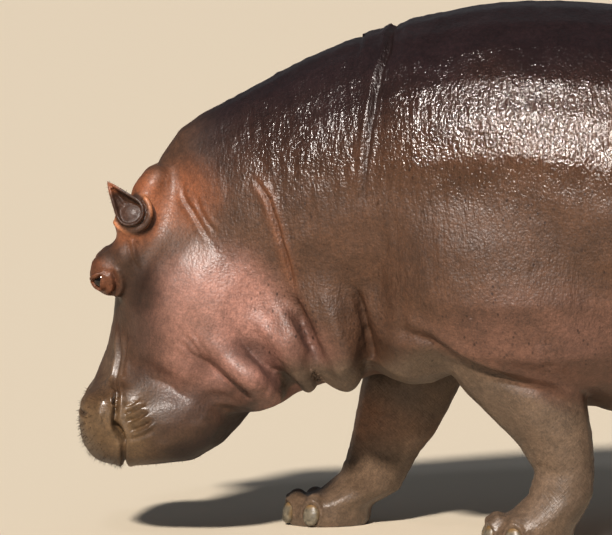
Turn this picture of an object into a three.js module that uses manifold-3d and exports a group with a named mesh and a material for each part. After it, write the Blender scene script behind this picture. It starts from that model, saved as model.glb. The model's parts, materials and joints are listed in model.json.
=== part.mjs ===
// A common hippopotamus cow at life size, caught in mid-walk with her head hung low over the ground.
// Millimetres, +Z up. She faces -X with her left side towards -Y, and stands on the XY plane.
// The origin is on the floor, below the middle of her length and width.
import * as THREE from "three";
import { mergeVertices } from "three/addons/utils/BufferGeometryUtils.js";
import Module from "manifold-3d";

const wasm = await Module();
wasm.setup();

// Driving sizes. All places below are written for a cow 1347 high, and scale changes them together.
const backHeight = 1347;
const scale = backHeight / 1347;
const shift = 18; // brings the middle of her length over the origin
const gap = 0.4; // left between pieces that meet
const eyeballRadius = 21;
const nailSize = [15, 25, 29]; // half thickness, half width and half height of one toenail
const toeAngles = [-62, -21, 21, 62]; // degrees from straight ahead
const wider = 1600; // wider than the whole body

const colours = {
  trunk: "#5d4034",
  head: "#8a5a48",
  leg: "#6b5a4e",
  ear: "#7a4630",
  nail: "#57524a",
  eye: "#1b120d",
};

// ---- Rings and lofts ----

// A smooth function through rows of numbers, each at its own place along a line.
function through(places, rows) {
  const slope = (i, k) => {
    const before = Math.max(i - 1, 0);
    const after = Math.min(i + 1, rows.length - 1);
    return (rows[after][k] - rows[before][k]) / (places[after] - places[before]);
  };
  return (place) => {
    let i = 0;
    while (i < places.length - 2 && place > places[i + 1]) i++;
    const span = places[i + 1] - places[i];
    const t = (place - places[i]) / span;
    return rows[i].map((value, k) => {
      const [rise, fall] = [t * t * (3 - 2 * t), t * (1 - t)];
      const curve = slope(i, k) * (1 - t) - slope(i + 1, k) * t;
      return value + (rows[i + 1][k] - value) * rise + curve * span * fall;
    });
  };
}

// How far a line from inside the body runs along a direction before it leaves an ellipsoid for good.
function reachOf({ at, radii, lean = 0 }, start, along) {
  const turn = new THREE.Matrix4().makeRotationY(THREE.MathUtils.degToRad(lean));
  const shrink = (v) => v.applyMatrix4(turn).divide(new THREE.Vector3(...radii));
  const from = shrink(start.clone().sub(new THREE.Vector3(...at)));
  const step = shrink(along.clone());
  const [a, b, c] = [step.dot(step), from.dot(step), from.dot(from) - 1];
  const inside = b * b - a * c;
  return inside > 0 ? (-b + Math.sqrt(inside)) / a : 0;
}

// The larger of two lengths, rounded where they cross.
function rounderMax(a, b, blend) {
  const near = Math.max(blend - Math.abs(a - b), 0);
  return Math.max(a, b) + (near * near) / (4 * blend);
}

// One ring of the body: it starts on the top line, runs round to the belly line and back up the other side.
// wide holds its half width near the start, half way and near the end. Masses under the skin push it out.
function ring([fromX, fromZ, toX, toZ, y, wideStart, wideMiddle, wideEnd, square], count, masses, grow) {
  const middle = new THREE.Vector3((fromX + toX) / 2, y, (fromZ + toZ) / 2);
  return Array.from({ length: count }, (_, i) => {
    const turn = (2 * Math.PI * i) / count;
    const u = (1 - Math.cos(turn)) / 2;
    const wide = wideStart * (1 - u) * (1 - 2 * u) + wideMiddle * 4 * u * (1 - u) + wideEnd * u * (2 * u - 1);
    const side = Math.sign(Math.sin(turn)) * Math.abs(Math.sin(turn)) ** (1 - square);
    const out = new THREE.Vector3(fromX + u * (toX - fromX), y + wide * side, fromZ + u * (toZ - fromZ));
    out.sub(middle);
    let reach = out.length();
    out.divideScalar(reach);
    for (const mass of masses) reach = rounderMax(reach, reachOf(mass, middle, out), mass.blend ?? 40);
    return middle.clone().addScaledVector(out, reach + grow);
  });
}

// Turns rings of points, each with the same count, into a closed solid.
function solidOfRings(rings) {
  const count = rings[0].length;
  const middleOf = (points) => points.reduce((sum, p) => sum.add(p), new THREE.Vector3()).divideScalar(count);
  const corners = [...rings.flat(), middleOf(rings[0]), middleOf(rings.at(-1))];
  const [firstEnd, lastEnd] = [corners.length - 2, corners.length - 1];
  const lastRing = (rings.length - 1) * count;
  const triangles = [];
  for (let i = 0; i < count; i++) {
    const next = (i + 1) % count;
    for (let r = 0; r < lastRing; r += count) {
      triangles.push(r + i, r + next, r + count + i, r + next, r + count + next, r + count + i);
    }
    triangles.push(firstEnd, next, i, lastEnd, lastRing + i, lastRing + next);
  }
  const geometry = new THREE.BufferGeometry().setFromPoints(corners).setIndex(triangles);
  const solid = solidOf(geometry);
  return solid.volume() > 0 ? solid : solidOf(geometry.setIndex(triangles.reverse()));
}

// A loft through stations, with rings about "step" apart on its middle line. Each station holds the two ends
// of its ring, its half widths, how far off the middle plane it is, and how square it is (0 is an ellipse).
function loft(stations, { step, count, y = 0, masses = [], grow = 0 }) {
  const rows = stations.map(({ from, to, wide, square = 0.14 }) => [...from, ...to, y, ...wide, square]);
  const places = [0];
  for (let i = 1; i < rows.length; i++) {
    const [was, is] = [rows[i - 1], rows[i]].map(([fx, fz, tx, tz]) => new THREE.Vector2(fx + tx, fz + tz));
    places.push(places[i - 1] + Math.max(is.distanceTo(was) / 2, 1));
  }
  const rowAt = through(places, rows);
  const rings = [];
  for (let i = 0; i < places.length - 1; i++) {
    const span = places[i + 1] - places[i];
    const pieces = Math.max(1, Math.round(span / (stations[i].step ?? step)));
    for (let k = 0; k < pieces; k++) {
      rings.push(ring(rowAt(places[i] + (span * k) / pieces), count, masses, grow));
    }
  }
  rings.push(ring(rows.at(-1), count, masses, grow));
  return solidOfRings(rings);
}

// ---- Solids ----

function solidOf(geometry) {
  const bare = geometry.clone();
  bare.deleteAttribute("normal");
  bare.deleteAttribute("uv");
  const merged = mergeVertices(bare, 1e-3);
  return new wasm.Manifold(
    new wasm.Mesh({
      numProp: 3,
      vertProperties: merged.attributes.position.array,
      triVerts: new Uint32Array(merged.index.array),
    }),
  );
}

const joined = (solids) => solids.reduce((whole, solid) => whole.add(solid));
const without = (solid, cutters) => cutters.reduce((rest, cutter) => rest.subtract(cutter), solid);
const mirrored = (solid) => solid.mirror([0, 1, 0]);

// A cut can leave a crumb behind, and only the largest piece is the part.
function largest(solid) {
  return solid.decompose().reduce((a, b) => (b.volume() > a.volume() ? b : a));
}

// An ellipsoid, turned by Euler angles in degrees.
function lump({ at, radii, turn = [0, 0, 0], grow = 0 }, [across, down] = [10, 7]) {
  const angles = new THREE.Euler(...turn.map(THREE.MathUtils.degToRad), "ZYX");
  const place = new THREE.Matrix4().compose(
    new THREE.Vector3(...at),
    new THREE.Quaternion().setFromEuler(angles),
    new THREE.Vector3(...radii).addScalar(grow),
  );
  return solidOf(new THREE.SphereGeometry(1, across, down).applyMatrix4(place));
}

// A block through the whole width of the body, with an outline in the XZ plane.
function slab(outline) {
  const shape = new THREE.Shape(outline.map(([x, z]) => new THREE.Vector2(x, z)));
  const block = new THREE.ExtrudeGeometry(shape, { depth: wider, bevelEnabled: false });
  return solidOf(block.rotateX(Math.PI / 2).translate(0, wider / 2, 0));
}

// ---- The body: one long loft from the lips to the rump ----

const bodyStations = [
  { from: [-1318, 186], to: [-1232, 182], wide: [60, 74, 50] },
  { from: [-1356, 204], to: [-1166, 187], wide: [116, 140, 104] },
  { from: [-1381, 241], to: [-1082, 202], wide: [165, 180, 134] },
  { from: [-1387, 286], to: [-1022, 238], wide: [186, 196, 156] }, // upper lip
  { from: [-1377, 326], to: [-979, 284], wide: [186, 198, 168], square: 0.2 }, // nostrils
  { from: [-1360, 366], to: [-952, 318], wide: [164, 192, 176], square: 0.22 },
  { from: [-1340, 418], to: [-942, 326], wide: [126, 186, 174], square: 0.22 },
  { from: [-1315, 480], to: [-933, 326], wide: [108, 184, 170], square: 0.24 }, // narrow bridge of the nose
  { from: [-1300, 549], to: [-917, 326], wide: [128, 188, 166], square: 0.34 },
  { from: [-1293, 620], to: [-897, 330], wide: [158, 198, 166], square: 0.42 }, // between the eyes
  { from: [-1279, 691], to: [-873, 338], wide: [168, 208, 166], square: 0.42 },
  { from: [-1258, 756], to: [-849, 354], wide: [170, 214, 166], square: 0.36 }, // brow
  { from: [-1238, 827], to: [-829, 366], wide: [162, 216, 164], square: 0.26 }, // ears
  { from: [-1210, 895], to: [-809, 370], wide: [144, 214, 160] },
  { from: [-1176, 962], to: [-790, 378], wide: [136, 214, 158] }, // poll
  { from: [-1131, 1026], to: [-767, 386], wide: [146, 226, 160] },
  { from: [-1069, 1069], to: [-744, 388], wide: [168, 242, 168] },
  { from: [-981, 1114], to: [-717, 390], wide: [196, 264, 178] }, // neck
  { from: [-855, 1184], to: [-686, 392], wide: [234, 292, 192] },
  { from: [-730, 1240], to: [-662, 400], wide: [264, 316, 208] },
  { from: [-634, 1276], to: [-632, 410], wide: [290, 338, 232] }, // fold before the shoulder
  { from: [-552, 1302], to: [-556, 404], wide: [324, 374, 262] },
  { from: [-439, 1326], to: [-446, 410], wide: [352, 404, 300], step: 75 },
  { from: [-324, 1344], to: [-320, 398], wide: [374, 432, 340], step: 75 }, // withers
  { from: [-190, 1347], to: [-187, 362], wide: [385, 456, 380], step: 80 },
  { from: [-48, 1340], to: [-43, 314], wide: [390, 474, 408], step: 100 },
  { from: [200, 1324], to: [200, 290], wide: [394, 492, 428], step: 100 }, // barrel
  { from: [500, 1322], to: [500, 292], wide: [396, 498, 426], step: 90 },
  { from: [760, 1326], to: [790, 356], wide: [378, 466, 374], step: 90 },
  { from: [960, 1302], to: [1010, 460], wide: [336, 414, 310], step: 75 }, // hips
  { from: [1120, 1232], to: [1170, 566], wide: [276, 346, 258], step: 60 },
  { from: [1228, 1120], to: [1264, 686], wide: [196, 258, 200] },
  { from: [1290, 990], to: [1302, 806], wide: [110, 140, 104] }, // rump
];

// Muscle, fat and bone that swell the left side. lean tips a mass forward, in degrees.
const leftMasses = [
  { at: [-1316, -116, 326], radii: [62, 84, 84], blend: 60 }, // root of the upper tusk
  { at: [-1146, -124, 292], radii: [124, 86, 96], blend: 60 }, // lower lip, over its tusk
  { at: [-1060, -120, 560], radii: [170, 112, 190], lean: 20, blend: 80 }, // cheek
  { at: [-960, -134, 431], radii: [98, 102, 108], lean: 20, blend: 40 }, // first jowl
  { at: [-866, -132, 526], radii: [68, 122, 158], lean: 22, blend: 34 }, // second jowl
  { at: [-742, -140, 534], radii: [72, 150, 164], lean: 12, blend: 40 }, // hanging fold of the neck
  { at: [-540, -130, 540], radii: [130, 210, 146], blend: 60 }, // breast
  { at: [-296, -232, 640], radii: [350, 238, 250], lean: -24, blend: 60 }, // shoulder
  { at: [940, -214, 710], radii: [266, 216, 330], blend: 80 }, // haunch
];
const masses = leftMasses.flatMap((mass) => {
  const [x, y, z] = mass.at;
  return [mass, { ...mass, at: [x, -y, z] }];
});

// Each eye sits in a dome of its own, well above the forehead.
const dome = { at: [-1299, -104, 671], radii: [57, 54, 60], turn: [0, -6, 0] };
const eyeball = { at: [-1324, -130, 655], radii: [eyeballRadius, eyeballRadius, eyeballRadius] };
const browRidge = { at: [-1256, -112, 718], radii: [50, 54, 70], turn: [0, 30, 0] };
const earMound = { at: [-1206, -82, 868], radii: [44, 54, 78], turn: [0, 28, 0] };

function wholeBody(grow) {
  const left = joined([dome, browRidge, earMound].map((mass) => lump({ ...mass, grow })));
  return joined([loft(bodyStations, { step: 50, count: 28, masses, grow }), left, mirrored(left)]);
}

// ---- Legs ----

// Level rings from the sole up into the body, each from the front of the leg to its back.
const forefoot = (x) => [
  { from: [x - 112, 0], to: [x + 92, 0], wide: [92, 98, 74], square: 0.24 },
  { from: [x - 120, 18], to: [x + 99, 18], wide: [102, 106, 80], square: 0.24 },
  { from: [x - 116, 48], to: [x + 102, 48], wide: [98, 104, 84], square: 0.2 },
];
const hindfoot = (x) => [
  { from: [x - 98, 0], to: [x + 82, 0], wide: [80, 86, 64], square: 0.24 },
  { from: [x - 106, 18], to: [x + 89, 18], wide: [90, 93, 70], square: 0.24 },
  { from: [x - 100, 46], to: [x + 92, 46], wide: [86, 90, 72], square: 0.2 },
];

const legs = {
  foreleg_left: {
    y: -245,
    stations: [
      ...forefoot(-252),
      { from: [-306, 92], to: [-124, 92], wide: [78, 94, 84] },
      { from: [-266, 128], to: [-106, 128], wide: [66, 82, 76] },
      { from: [-249, 190], to: [-102, 190], wide: [64, 76, 72] }, // wrist
      { from: [-292, 258], to: [-105, 258], wide: [74, 88, 82] },
      { from: [-343, 309], to: [-112, 309], wide: [84, 100, 92] },
      { from: [-425, 391], to: [-122, 391], wide: [94, 114, 104] },
      { from: [-500, 480], to: [-150, 480], wide: [100, 120, 108] }, // elbow
      { from: [-540, 600], to: [-200, 600], wide: [90, 104, 90] },
    ],
  },
  foreleg_right: {
    y: 245,
    stations: [
      ...forefoot(-748),
      { from: [-778, 88], to: [-574, 88], wide: [82, 94, 84] },
      { from: [-726, 132], to: [-548, 140], wide: [70, 82, 78] },
      { from: [-710, 172], to: [-522, 184], wide: [68, 78, 76] }, // wrist
      { from: [-697, 230], to: [-484, 230], wide: [78, 90, 86] },
      { from: [-685, 300], to: [-446, 300], wide: [88, 102, 96] },
      { from: [-671, 370], to: [-412, 370], wide: [96, 112, 104] },
      { from: [-645, 480], to: [-350, 480], wide: [100, 118, 108] }, // elbow
      { from: [-610, 600], to: [-300, 600], wide: [90, 104, 90] },
    ],
  },
  hindleg_left: {
    y: -238,
    stations: [
      ...hindfoot(775),
      { from: [722, 88], to: [868, 88], wide: [74, 84, 74] },
      { from: [758, 145], to: [892, 145], wide: [62, 72, 66] },
      { from: [776, 215], to: [912, 215], wide: [60, 70, 64] },
      { from: [776, 285], to: [934, 285], wide: [68, 80, 70] }, // hock
      { from: [740, 355], to: [940, 355], wide: [88, 104, 84] },
      { from: [694, 440], to: [960, 440], wide: [108, 128, 100] },
      { from: [690, 560], to: [1010, 560], wide: [120, 140, 110] }, // knee
      { from: [740, 680], to: [1020, 680], wide: [90, 110, 90] },
    ],
  },
  hindleg_right: {
    y: 238,
    stations: [
      ...hindfoot(1045),
      { from: [996, 88], to: [1146, 88], wide: [74, 84, 74] },
      { from: [1040, 145], to: [1176, 145], wide: [62, 72, 66] },
      { from: [1062, 215], to: [1198, 215], wide: [60, 70, 64] },
      { from: [1050, 285], to: [1202, 285], wide: [68, 80, 70] }, // hock
      { from: [988, 355], to: [1180, 355], wide: [88, 104, 84] },
      { from: [900, 440], to: [1150, 440], wide: [108, 128, 100] },
      { from: [830, 560], to: [1120, 560], wide: [120, 140, 110] }, // knee
      { from: [820, 680], to: [1090, 680], wide: [90, 110, 90] },
    ],
  },
};

// Toes fan out round the front of the foot's second ring. Each is a mass in the foot with a nail in front.
function toes({ y, stations }) {
  const { from, to, wide } = stations[1];
  const [centre, ahead] = [(from[0] + to[0]) / 2 + 8, (to[0] - from[0]) / 2 + 8];
  return toeAngles.map((angle) => {
    const turn = THREE.MathUtils.degToRad(angle);
    const [forward, aside] = [Math.cos(turn), Math.sin(turn)];
    const out = 1 / Math.hypot(forward / ahead, aside / wide[1]);
    const placed = (inward, z) => [centre - (out - inward) * forward, y + (out - inward) * aside, z];
    return {
      mass: { at: placed(32, 30), radii: [38, 34, 42], blend: 14 },
      nail: { at: placed(2, 34), radii: nailSize, turn: [0, 14, -angle] },
    };
  });
}

function leg(foot, body) {
  const fan = toes(foot);
  const flesh = loft(foot.stations, { step: 74, count: 14, y: foot.y, masses: fan.map(({ mass }) => mass) });
  return largest(without(flesh, [body, ...fan.map(({ nail }) => lump({ ...nail, grow: gap }, [8, 5]))]));
}

// ---- Tail and ears ----

const tailStations = [
  { from: [1250, 1010], to: [1262, 896], wide: [50, 58, 50] },
  { from: [1306, 968], to: [1292, 872], wide: [44, 52, 44] },
  { from: [1342, 880], to: [1298, 830], wide: [30, 38, 32] },
  { from: [1350, 780], to: [1302, 764], wide: [24, 28, 24] },
  { from: [1346, 690], to: [1304, 686], wide: [20, 20, 18] },
  { from: [1340, 624], to: [1312, 622], wide: [11, 13, 11] },
  { from: [1332, 596], to: [1320, 596], wide: [5, 6, 5] }, // flattened tip
];

// One ear, standing up its own Z with its hollow towards -Y. Rings run from its front edge to its back edge.
const earStations = [
  { from: [-24, -40], to: [24, -40], wide: [20, 24, 20] },
  { from: [-36, 0], to: [36, 0], wide: [28, 33, 28] },
  { from: [-38, 34], to: [38, 34], wide: [26, 31, 26] },
  { from: [-32, 68], to: [32, 68], wide: [20, 24, 20] },
  { from: [-20, 98], to: [18, 98], wide: [12, 14, 12] },
  { from: [-6, 120], to: [4, 120], wide: [4, 5, 4] },
];
const earHollow = { at: [0, -30, 44], radii: [27, 34, 62] };
const earPlaces = {
  ear_left: { at: [-1238, -146, 806], turn: [16, -36, 4] },
  ear_right: { at: [-1222, 150, 800], turn: [-30, -50, 176] },
};

function ear({ at, turn }, body) {
  const whole = loft(earStations, { step: 26, count: 10 });
  const cupped = without(whole, [lump(earHollow, [9, 6])]);
  return largest(without(cupped.rotate([0, 0, turn[2]]).rotate([turn[0], turn[1], 0]).translate(at), [body]));
}

// ---- The parts ----

// The body is parted by thin cuts behind the jaw, behind the poll and before the shoulder.
const jawOutline = [[-1262, 100], [-1290, 300], [-1272, 470], [-1060, 440], [-925, 345], [-700, 100]];
const headEdge = [[-1520, 1500], [-620, 100]];
const neckEdge = [[-610, 1500], [-662, 100]];
const farAway = 2500;

const jawMiddle = [-1080, 300];
const jawShrink = 0.994; // leaves a thin cut between jaw and head
const shrunk = (value, middle) => middle + jawShrink * (value - middle);
const smallerJaw = jawOutline.map(([x, z]) => [shrunk(x, jawMiddle[0]), shrunk(z, jawMiddle[1])]);
const ahead = (edge) => slab([...edge, [-farAway, edge[1][1]], [-farAway, edge[0][1]]]);
const behind = (edge) => slab([...edge, [farAway, edge[1][1]], [farAway, edge[0][1]]]);
const moved = (edge, distance) => edge.map(([x, z]) => [x + distance, z]);

const group = new THREE.Group();

function addPart(name, solid, colour, roughness) {
  const { vertProperties, triVerts } = solid.translate([shift, 0, 0]).scale(scale).getMesh();
  const geometry = new THREE.BufferGeometry();
  geometry.setAttribute("position", new THREE.BufferAttribute(vertProperties, 3));
  geometry.setIndex(new THREE.BufferAttribute(triVerts, 1));
  geometry.computeVertexNormals();
  const material = new THREE.MeshStandardMaterial({ color: colour, roughness, metalness: 0 });
  const mesh = new THREE.Mesh(geometry, material);
  mesh.name = name;
  group.add(mesh);
}

const body = wholeBody(0);
const grownBody = wholeBody(gap);
const socket = lump({ ...eyeball, grow: gap });
const sockets = [socket, mirrored(socket)];

const head = without(body.intersect(ahead(headEdge)), sockets);
addPart("head", largest(without(head, [slab(jawOutline)])), colours.head, 0.4);
addPart("lower_jaw", largest(head.intersect(slab(smallerJaw))), colours.head, 0.4);
const neck = body.intersect(behind(moved(headEdge, gap))).intersect(ahead(neckEdge));
addPart("neck", largest(neck), colours.head, 0.4);
addPart("trunk", largest(body.intersect(behind(moved(neckEdge, gap)))), colours.trunk, 0.35);
const tail = without(loft(tailStations, { step: 44, count: 8 }), [grownBody, grownBody.translate([gap, 0, 0])]);
addPart("tail", largest(tail), colours.trunk, 0.4);
for (const [name, place] of Object.entries(earPlaces)) addPart(name, ear(place, grownBody), colours.ear, 0.5);
addPart("eye_left", lump(eyeball), colours.eye, 0.1);
addPart("eye_right", mirrored(lump(eyeball)), colours.eye, 0.1);
for (const [name, foot] of Object.entries(legs)) {
  addPart(name, leg(foot, grownBody), colours.leg, 0.45);
  toes(foot).forEach(({ nail }, i) => addPart(`${name}_nail_${i + 1}`, lump(nail, [8, 5]), colours.nail, 0.4));
}

export default group;
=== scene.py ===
import json
import math
import bpy
import numpy as np
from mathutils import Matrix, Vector
from mathutils.bvhtree import BVHTree
from mathutils.geometry import barycentric_transform

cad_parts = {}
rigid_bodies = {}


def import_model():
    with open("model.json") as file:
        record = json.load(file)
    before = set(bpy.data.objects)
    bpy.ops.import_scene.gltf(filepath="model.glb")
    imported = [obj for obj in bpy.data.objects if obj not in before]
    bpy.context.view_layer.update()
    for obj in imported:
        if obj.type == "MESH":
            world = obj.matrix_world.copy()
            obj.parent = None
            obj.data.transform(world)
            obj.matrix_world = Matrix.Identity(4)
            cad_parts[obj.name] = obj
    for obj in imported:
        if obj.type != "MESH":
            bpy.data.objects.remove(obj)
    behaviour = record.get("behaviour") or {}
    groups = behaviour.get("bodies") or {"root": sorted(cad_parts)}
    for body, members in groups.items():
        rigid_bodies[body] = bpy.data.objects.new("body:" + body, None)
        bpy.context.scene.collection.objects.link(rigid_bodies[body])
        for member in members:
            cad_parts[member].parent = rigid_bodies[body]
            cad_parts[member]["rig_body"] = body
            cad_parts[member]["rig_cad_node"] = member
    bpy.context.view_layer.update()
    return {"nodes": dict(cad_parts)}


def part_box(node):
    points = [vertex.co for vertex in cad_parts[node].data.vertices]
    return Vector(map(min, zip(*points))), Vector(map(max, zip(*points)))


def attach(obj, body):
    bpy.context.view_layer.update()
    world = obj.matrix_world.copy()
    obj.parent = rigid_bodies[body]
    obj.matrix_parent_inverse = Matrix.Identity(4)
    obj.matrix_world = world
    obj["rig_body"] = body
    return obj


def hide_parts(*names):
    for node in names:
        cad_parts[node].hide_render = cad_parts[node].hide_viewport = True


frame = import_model()


# small helpers

def pickOnly(obj):
    bpy.ops.object.select_all(action="DESELECT")
    obj.select_set(True)
    bpy.context.view_layer.objects.active = obj


def applyModifier(obj, kind, **settings):
    pickOnly(obj)
    modifier = obj.modifiers.new(kind.lower(), kind)
    for name, value in settings.items():
        setattr(modifier, name, value)
    bpy.ops.object.modifier_apply(modifier=modifier.name)


def readPoints(obj, what="co"):
    flat = np.empty(len(obj.data.vertices) * 3)
    obj.data.vertices.foreach_get(what, flat)
    return flat.reshape(-1, 3)


def writePoints(obj, points):
    obj.data.vertices.foreach_set("co", points.ravel())
    obj.data.update()


def joinPieces(pieces, name):
    bpy.ops.object.select_all(action="DESELECT")
    for piece in pieces:
        piece.select_set(True)
    bpy.context.view_layer.objects.active = pieces[0]
    if len(pieces) > 1:
        bpy.ops.object.join()
    joined = bpy.context.view_layer.objects.active
    joined.name = name
    joined.data.name = name
    return joined


def voxelRemesh(obj, size):
    pickOnly(obj)
    obj.data.remesh_voxel_size = size
    obj.data.remesh_voxel_adaptivity = 0
    bpy.ops.object.voxel_remesh()


def addSphere(segments, rings, radius=1.0):
    bpy.ops.object.select_all(action="DESELECT")
    bpy.ops.mesh.primitive_uv_sphere_add(segments=segments, ring_count=rings, radius=radius)
    return bpy.context.object


def editAll(obj):
    pickOnly(obj)
    bpy.ops.object.mode_set(mode="EDIT")
    bpy.ops.mesh.select_all(action="SELECT")


def faceOutwards(obj):
    editAll(obj)
    bpy.ops.mesh.normals_make_consistent(inside=False)
    bpy.ops.object.mode_set(mode="OBJECT")


def ease(low, high, value):
    # 0 at low and 1 at high, with soft ends; it also runs downwards
    t = np.clip((value - low) / (high - low), 0, 1)
    return t * t * (3 - 2 * t)


def grain(points, size, seed):
    # smooth noise from -1 to 1, with cells of the given size in metres
    spot = points / np.asarray(size, float)
    cell = np.floor(spot).astype(np.int64)
    part = spot - cell
    part = part * part * (3 - 2 * part)
    total = np.zeros(len(points))
    for corner in range(8):
        step = np.array([corner & 1, corner >> 1 & 1, corner >> 2 & 1])
        x, y, z = (cell + step).T
        mixed = (x * 73856093) ^ (y * 19349663) ^ (z * 83492791) ^ (seed * 2654435761)
        mixed = ((mixed ^ (mixed >> 13)) * 1274126177) & 0xffffffff
        weight = np.prod(np.where(step, part, 1 - part), axis=1)
        total += weight * (((mixed >> 8) & 0xffff) / 32767.5 - 1)
    return total


def ball(points, middle, radius, soft=0.5):
    # 1 inside a ball, on both sides of the body, fading out over its outer part
    away = points.copy()
    away[:, 1] = np.abs(away[:, 1])
    away = np.linalg.norm((away - np.array(middle)) / np.array(radius), axis=1)
    return ease(1, 1 - soft, away)


def strongest(*layers):
    return np.maximum.reduce(layers)


def neighbourMiddle(obj, weight):
    # the points that have a weight, and a function that finds the middle of each one's neighbours
    ends = np.empty(len(obj.data.edges) * 2, np.int64)
    obj.data.edges.foreach_get("vertices", ends)
    pairs = ends.reshape(-1, 2)
    pairs = np.vstack([pairs, pairs[:, ::-1]])
    pairs = pairs[weight[pairs[:, 0]] > 0.002]
    picked, row = np.unique(pairs[:, 0], return_inverse=True)
    links = np.bincount(row)

    def middle(points):
        total = [np.bincount(row, points[pairs[:, 1], axis]) for axis in range(3)]
        return np.column_stack(total) / links[:, None]
    return picked, middle


def relax(obj, rounds, weight, pushes=(0.5, -0.51)):
    # smooths without shrinking: a push in, then a slightly longer push out
    picked, middle = neighbourMiddle(obj, weight)
    points = readPoints(obj)
    for _ in range(rounds):
        for push in pushes:
            points[picked] += (middle(points) - points[picked]) * (push * weight[picked])[:, None]
    writePoints(obj, points)


def fillHollows(obj, rounds, weight):
    # softens the hollows between lumps: points only move outwards
    picked, middle = neighbourMiddle(obj, weight)
    for turn in range(rounds):
        if turn % 5 == 0:
            if turn:
                writePoints(obj, points)
            points = readPoints(obj)
            normals = readPoints(obj, "normal")[picked]
        outward = ((middle(points) - points[picked]) * normals).sum(axis=1)
        points[picked] += normals * (np.clip(outward, 0, None) * weight[picked])[:, None]
    writePoints(obj, points)


def addLump(middle, radii, turn=0.0):
    # an egg-shaped mass, turned about its upright axis
    bpy.ops.object.select_all(action="DESELECT")
    bpy.ops.mesh.primitive_uv_sphere_add(segments=32, ring_count=16, radius=1, location=middle,
                                         rotation=(0, 0, turn), scale=radii)
    bpy.ops.object.transform_apply(location=True, rotation=True, scale=True)
    return bpy.context.object


# skin: one body from copies of the flesh nodes

skinPlan = {
    "flesh": ["head", "lower_jaw", "neck", "trunk", "tail", "foreleg_left",
              "foreleg_right", "hindleg_left", "hindleg_right"],
    "ears": ["ear_left", "ear_right"],
    "swell": 0.0008,          # makes neighbours overlap across their thin cuts
    "coarseVoxel": 0.010,     # first body, smoothed to lose its facets
    "fineVoxel": 0.0042,
    "triangles": 196000,
    "facetRounds": 45,        # smoothing that takes off the facets
    "browRounds": 40,         # filling of the hollows round the brow
    "earRounds": 30,          # of those round the ears
    "toeRounds": 25,          # and of those between the toes
    "soleHeight": 0.0004,     # flat soles, just clear of the floor
}


def copyOfNode(name):
    source = frame["nodes"][name]
    piece = source.copy()
    piece.data = source.data.copy()
    piece.parent = None
    bpy.context.scene.collection.objects.link(piece)
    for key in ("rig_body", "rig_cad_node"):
        if key in piece:
            del piece[key]
    editAll(piece)
    bpy.ops.mesh.remove_doubles(threshold=0.00001)
    bpy.ops.object.mode_set(mode="OBJECT")
    writePoints(piece, readPoints(piece) + readPoints(piece, "normal") * skinPlan["swell"])
    piece.data.materials.clear()
    return piece


def coarseWeight(points):
    x, z = points[:, 0], points[:, 2]
    weight = strongest(0.5 + 0.5 * ease(-1.0, -0.7, x),                      # the head keeps its bumps
                       ease(0.30, 0.24, z) * (x < -0.9),                     # end of the muzzle
                       ease(0.06, 0.03, np.hypot(x + 1.22, z - 0.74)))       # below the ear
    weight *= 1 - 0.45 * ease(0.34, 0.16, z) * (x > -0.9)     # legs
    weight *= 1 - 0.6 * ease(0.12, 0.05, z)                   # toes
    return weight


earFoot = ((-1.222, 0.125, 0.800), (0.052, 0.048, 0.058))     # flesh that carries each ear
flesh = [copyOfNode(name) for name in skinPlan["flesh"]]
for side in (-1, 1):
    middle, radii = earFoot
    flesh.append(addLump((middle[0], middle[1] * side, middle[2]), radii))
skin = joinPieces(flesh, "skin")
voxelRemesh(skin, skinPlan["coarseVoxel"])
relax(skin, skinPlan["facetRounds"], coarseWeight(readPoints(skin)))
place = readPoints(skin)
muzzle = ease(-1.02, -1.14, place[:, 0]) * ease(0.46, 0.36, place[:, 2])
relax(skin, 12, muzzle * 0.8, pushes=(0.5,))
rear = ease(-0.1, 0.2, place[:, 0]) * ease(0.10, 0.46, place[:, 2])
rear *= 1 - ball(place, (1.32, 0, 0.80), (0.14, 0.09, 0.27), 0.4)      # but not the tail
relax(skin, skinPlan["facetRounds"], rear, pushes=(0.5,))
brow = strongest(ball(place, (-1.225, 0.10, 0.82), (0.15, 0.15, 0.17), 0.5),
                 0.7 * ball(place, (-1.235, 0.12, 0.68), (0.07, 0.10, 0.10), 0.6))
fillHollows(skin, skinPlan["browRounds"], brow)
print("coarse body:", len(skin.data.vertices), "points")


# ears: a cup with a pointed tip

earPlan = {
    "round": 0.034,           # radius of the round part of the rim
    "tip": 0.092,             # from the middle of the cup to the tip
    "depth": 0.044,
    "wall": 0.007,
    "ring": (0.047, 0.0085),  # fold of skin round the foot of the ear: its radius and half its width
    "ringSet": -0.020,        # the ring lies this far behind the rim
    "left": {"middle": (-1.235, -0.172, 0.829), "faces": (-0.28, -0.93, 0.20), "tip": (-0.62, 0.02, 0.78)},
    "right": {"middle": (-1.205, 0.160, 0.812), "faces": (0.45, 0.86, 0.12), "tip": (0.30, 0.30, 0.90)},
}


def earAxes(side):
    plan = earPlan[side]
    out = Vector(plan["faces"]).normalized()
    tip = Vector(plan["tip"])
    tip = (tip - out * tip.dot(out)).normalized()
    return np.array([tip, out.cross(tip), out]), np.array(plan["middle"])


def earRim(turn):
    # how far the rim lies from the middle of the cup, and where its straight sides meet the round
    shoulder = math.acos(earPlan["round"] / earPlan["tip"])
    return earPlan["round"] / np.cos(np.clip(shoulder - turn, 0, None)), shoulder


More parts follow.
